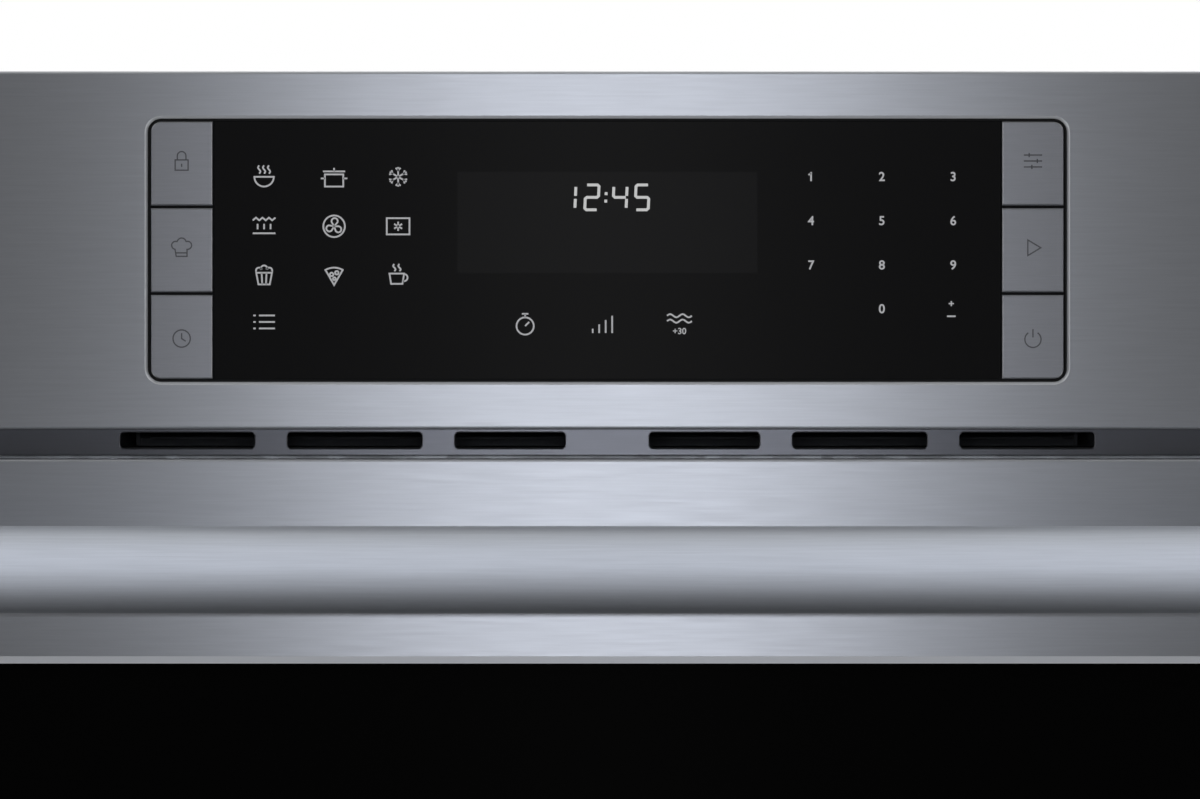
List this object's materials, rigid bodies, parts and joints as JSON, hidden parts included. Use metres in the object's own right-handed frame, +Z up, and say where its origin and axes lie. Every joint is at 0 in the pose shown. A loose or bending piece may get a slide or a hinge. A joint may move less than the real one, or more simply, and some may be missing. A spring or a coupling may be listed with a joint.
{
  "type": "built-in speed oven",
  "caption": "Built-in speed oven with a brushed steel front, touch control panel, drop-down door with bar handle, glass turntable, broil element and convection fan.",
  "frame": {"origin": "centre of the footprint, on the surface that the base skids stand on", "axes": "+X to the right seen from the front, +Y from the door towards the back, +Z up"},
  "size_m": [0.756, 0.6125, 0.484],
  "materials": {
    "stainless_brushed": "satin",
    "vent_metal": "satin",
    "black_glass": "gloss",
    "clear_glass": "gloss",
    "display_lens": "gloss",
    "circuit_board": "satin",
    "black_moulding": "satin",
    "pale_nylon": "satin",
    "galvanised_steel": "satin",
    "zinc_fixings": "satin",
    "cavity_steel": "satin",
    "grey_enamel": "gloss",
    "element_sheath": "matte",
    "mineral_fibre": "matte",
    "mica_sheet": "satin",
    "laminated_steel": "satin",
    "bare_aluminium": "satin"
  },
  "bodies": {
    "root": {"control_fascia": "stainless_brushed", "vent_trim": "vent_metal", "control_glass": "black_glass", "display_module": "display_lens", "control_board": "circuit_board", "control_bezel": "black_moulding", "interlock_switches": "black_moulding", "latch_housings": "black_moulding", "front_frame": "galvanised_steel", "case_wrapper": "galvanised_steel", "base_plate": "galvanised_steel", "rear_panel": "galvanised_steel", "component_shelf": "galvanised_steel", "blower_housing": "galvanised_steel", "hinge_lugs": "galvanised_steel", "waveguide": "galvanised_steel", "convection_chamber": "galvanised_steel", "cavity_lamp": "galvanised_steel", "conduit_inlet": "galvanised_steel", "case_screws": "zinc_fixings", "hinge_pins": "zinc_fixings", "hinge_springs": "zinc_fixings", "cavity_liner": "cavity_steel", "fan_baffle": "cavity_steel", "broil_element": "element_sheath", "convection_heater": "element_sheath", "insulation_jacket": "mineral_fibre", "mica_cover": "mica_sheet", "hv_transformer": "laminated_steel", "convection_motor": "laminated_steel", "turntable_motor": "laminated_steel", "blower_motor": "laminated_steel", "magnetron": "laminated_steel", "hv_capacitor": "bare_aluminium"},
    "door": {"door_skin": "stainless_brushed", "door_glass": "black_glass", "door_pan": "grey_enamel", "door_screen": "grey_enamel", "door_inner_glass": "clear_glass", "door_inner_trim": "black_moulding", "handle_bar": "stainless_brushed", "handle_posts": "stainless_brushed", "door_screws": "zinc_fixings", "door_hinge_brackets": "galvanised_steel"},
    "latch_left": {"latch_hook_left": "pale_nylon"},
    "latch_right": {"latch_hook_right": "pale_nylon"},
    "key_left_top": {"key_left_top": "stainless_brushed"},
    "key_left_middle": {"key_left_middle": "stainless_brushed"},
    "key_left_bottom": {"key_left_bottom": "stainless_brushed"},
    "key_right_top": {"key_right_top": "stainless_brushed"},
    "key_right_middle": {"key_right_middle": "stainless_brushed"},
    "key_right_bottom": {"key_right_bottom": "stainless_brushed"},
    "coupler": {"drive_coupler": "pale_nylon"},
    "tray": {"turntable_tray": "clear_glass"},
    "ring": {"roller_ring": "pale_nylon"},
    "wheel_1": {"roller_wheel_1": "pale_nylon"},
    "wheel_2": {"roller_wheel_2": "pale_nylon"},
    "wheel_3": {"roller_wheel_3": "pale_nylon"},
    "fan": {"convection_fan": "cavity_steel"},
    "blower": {"blower_wheel": "bare_aluminium"}
  },
  "joints": [
    {"name": "door_hinge", "type": "hinge", "parent": "root", "child": "door", "pos_m": [0, -0.21675, 0.02], "axis": [1, 0, 0], "range_deg": [0, 90], "stiffness_Nm_per_rad": 3, "springref_deg": -45.84},
    {"name": "latch_left_lift", "type": "hinge", "parent": "door", "child": "latch_left", "pos_m": [-0.272, -0.21875, 0.322], "axis": [1, 0, 0], "range_deg": [0, 10], "stiffness_Nm_per_rad": 0.05, "springref_deg": -5.73},
    {"name": "latch_right_lift", "type": "hinge", "parent": "door", "child": "latch_right", "pos_m": [0.272, -0.21875, 0.322], "axis": [1, 0, 0], "range_deg": [0, 10], "stiffness_Nm_per_rad": 0.05, "springref_deg": -5.73},
    {"name": "key_left_top_press", "type": "slide", "parent": "root", "child": "key_left_top", "axis": [0, 1, 0], "range_m": [0, 0.0008], "stiffness_N_per_m": 2500, "springref_m": -0.0004},
    {"name": "key_left_middle_press", "type": "slide", "parent": "root", "child": "key_left_middle", "axis": [0, 1, 0], "range_m": [0, 0.0008], "stiffness_N_per_m": 2500, "springref_m": -0.0004},
    {"name": "key_left_bottom_press", "type": "slide", "parent": "root", "child": "key_left_bottom", "axis": [0, 1, 0], "range_m": [0, 0.0008], "stiffness_N_per_m": 2500, "springref_m": -0.0004},
    {"name": "key_right_top_press", "type": "slide", "parent": "root", "child": "key_right_top", "axis": [0, 1, 0], "range_m": [0, 0.0008], "stiffness_N_per_m": 2500, "springref_m": -0.0004},
    {"name": "key_right_middle_press", "type": "slide", "parent": "root", "child": "key_right_middle", "axis": [0, 1, 0], "range_m": [0, 0.0008], "stiffness_N_per_m": 2500, "springref_m": -0.0004},
    {"name": "key_right_bottom_press", "type": "slide", "parent": "root", "child": "key_right_bottom", "axis": [0, 1, 0], "range_m": [0, 0.0008], "stiffness_N_per_m": 2500, "springref_m": -0.0004},
    {"name": "turntable_spin", "type": "hinge", "parent": "root", "child": "coupler", "pos_m": [0, 0.00275, 0.0752], "axis": [0, 0, 1], "continuous": true},
    {"name": "tray_lift", "type": "slide", "parent": "coupler", "child": "tray", "axis": [0, 0, 1], "range_m": [0, 0.02]},
    {"name": "roller_ring_spin", "type": "hinge", "parent": "root", "child": "ring", "pos_m": [0, 0.00275, 0.0752], "axis": [0, 0, 1], "continuous": true},
    {"name": "roller_1_spin", "type": "hinge", "parent": "ring", "child": "wheel_1", "pos_m": [0, 0.10775, 0.0752], "axis": [0, 1, 0], "continuous": true},
    {"name": "roller_2_spin", "type": "hinge", "parent": "ring", "child": "wheel_2", "pos_m": [-0.09093, -0.04975, 0.0752], "axis": [-0.866, -0.5, 0], "continuous": true},
    {"name": "roller_3_spin", "type": "hinge", "parent": "ring", "child": "wheel_3", "pos_m": [0.09093, -0.04975, 0.0752], "axis": [0.866, -0.5, 0], "continuous": true},
    {"name": "convection_fan_spin", "type": "hinge", "parent": "root", "child": "fan", "pos_m": [0, 0.22125, 0.184], "axis": [0, 1, 0], "continuous": true},
    {"name": "blower_spin", "type": "hinge", "parent": "root", "child": "blower", "pos_m": [0, -0.08875, 0.3584], "axis": [1, 0, 0], "continuous": true}
  ],
  "couplings": [
    {"joint": "roller_ring_spin", "follows": "turntable_spin", "ratio": 0.5},
    {"joint": "roller_1_spin", "follows": "turntable_spin", "ratio": -5.8333},
    {"joint": "roller_2_spin", "follows": "turntable_spin", "ratio": -5.8333},
    {"joint": "roller_3_spin", "follows": "turntable_spin", "ratio": -5.8333}
  ]
}
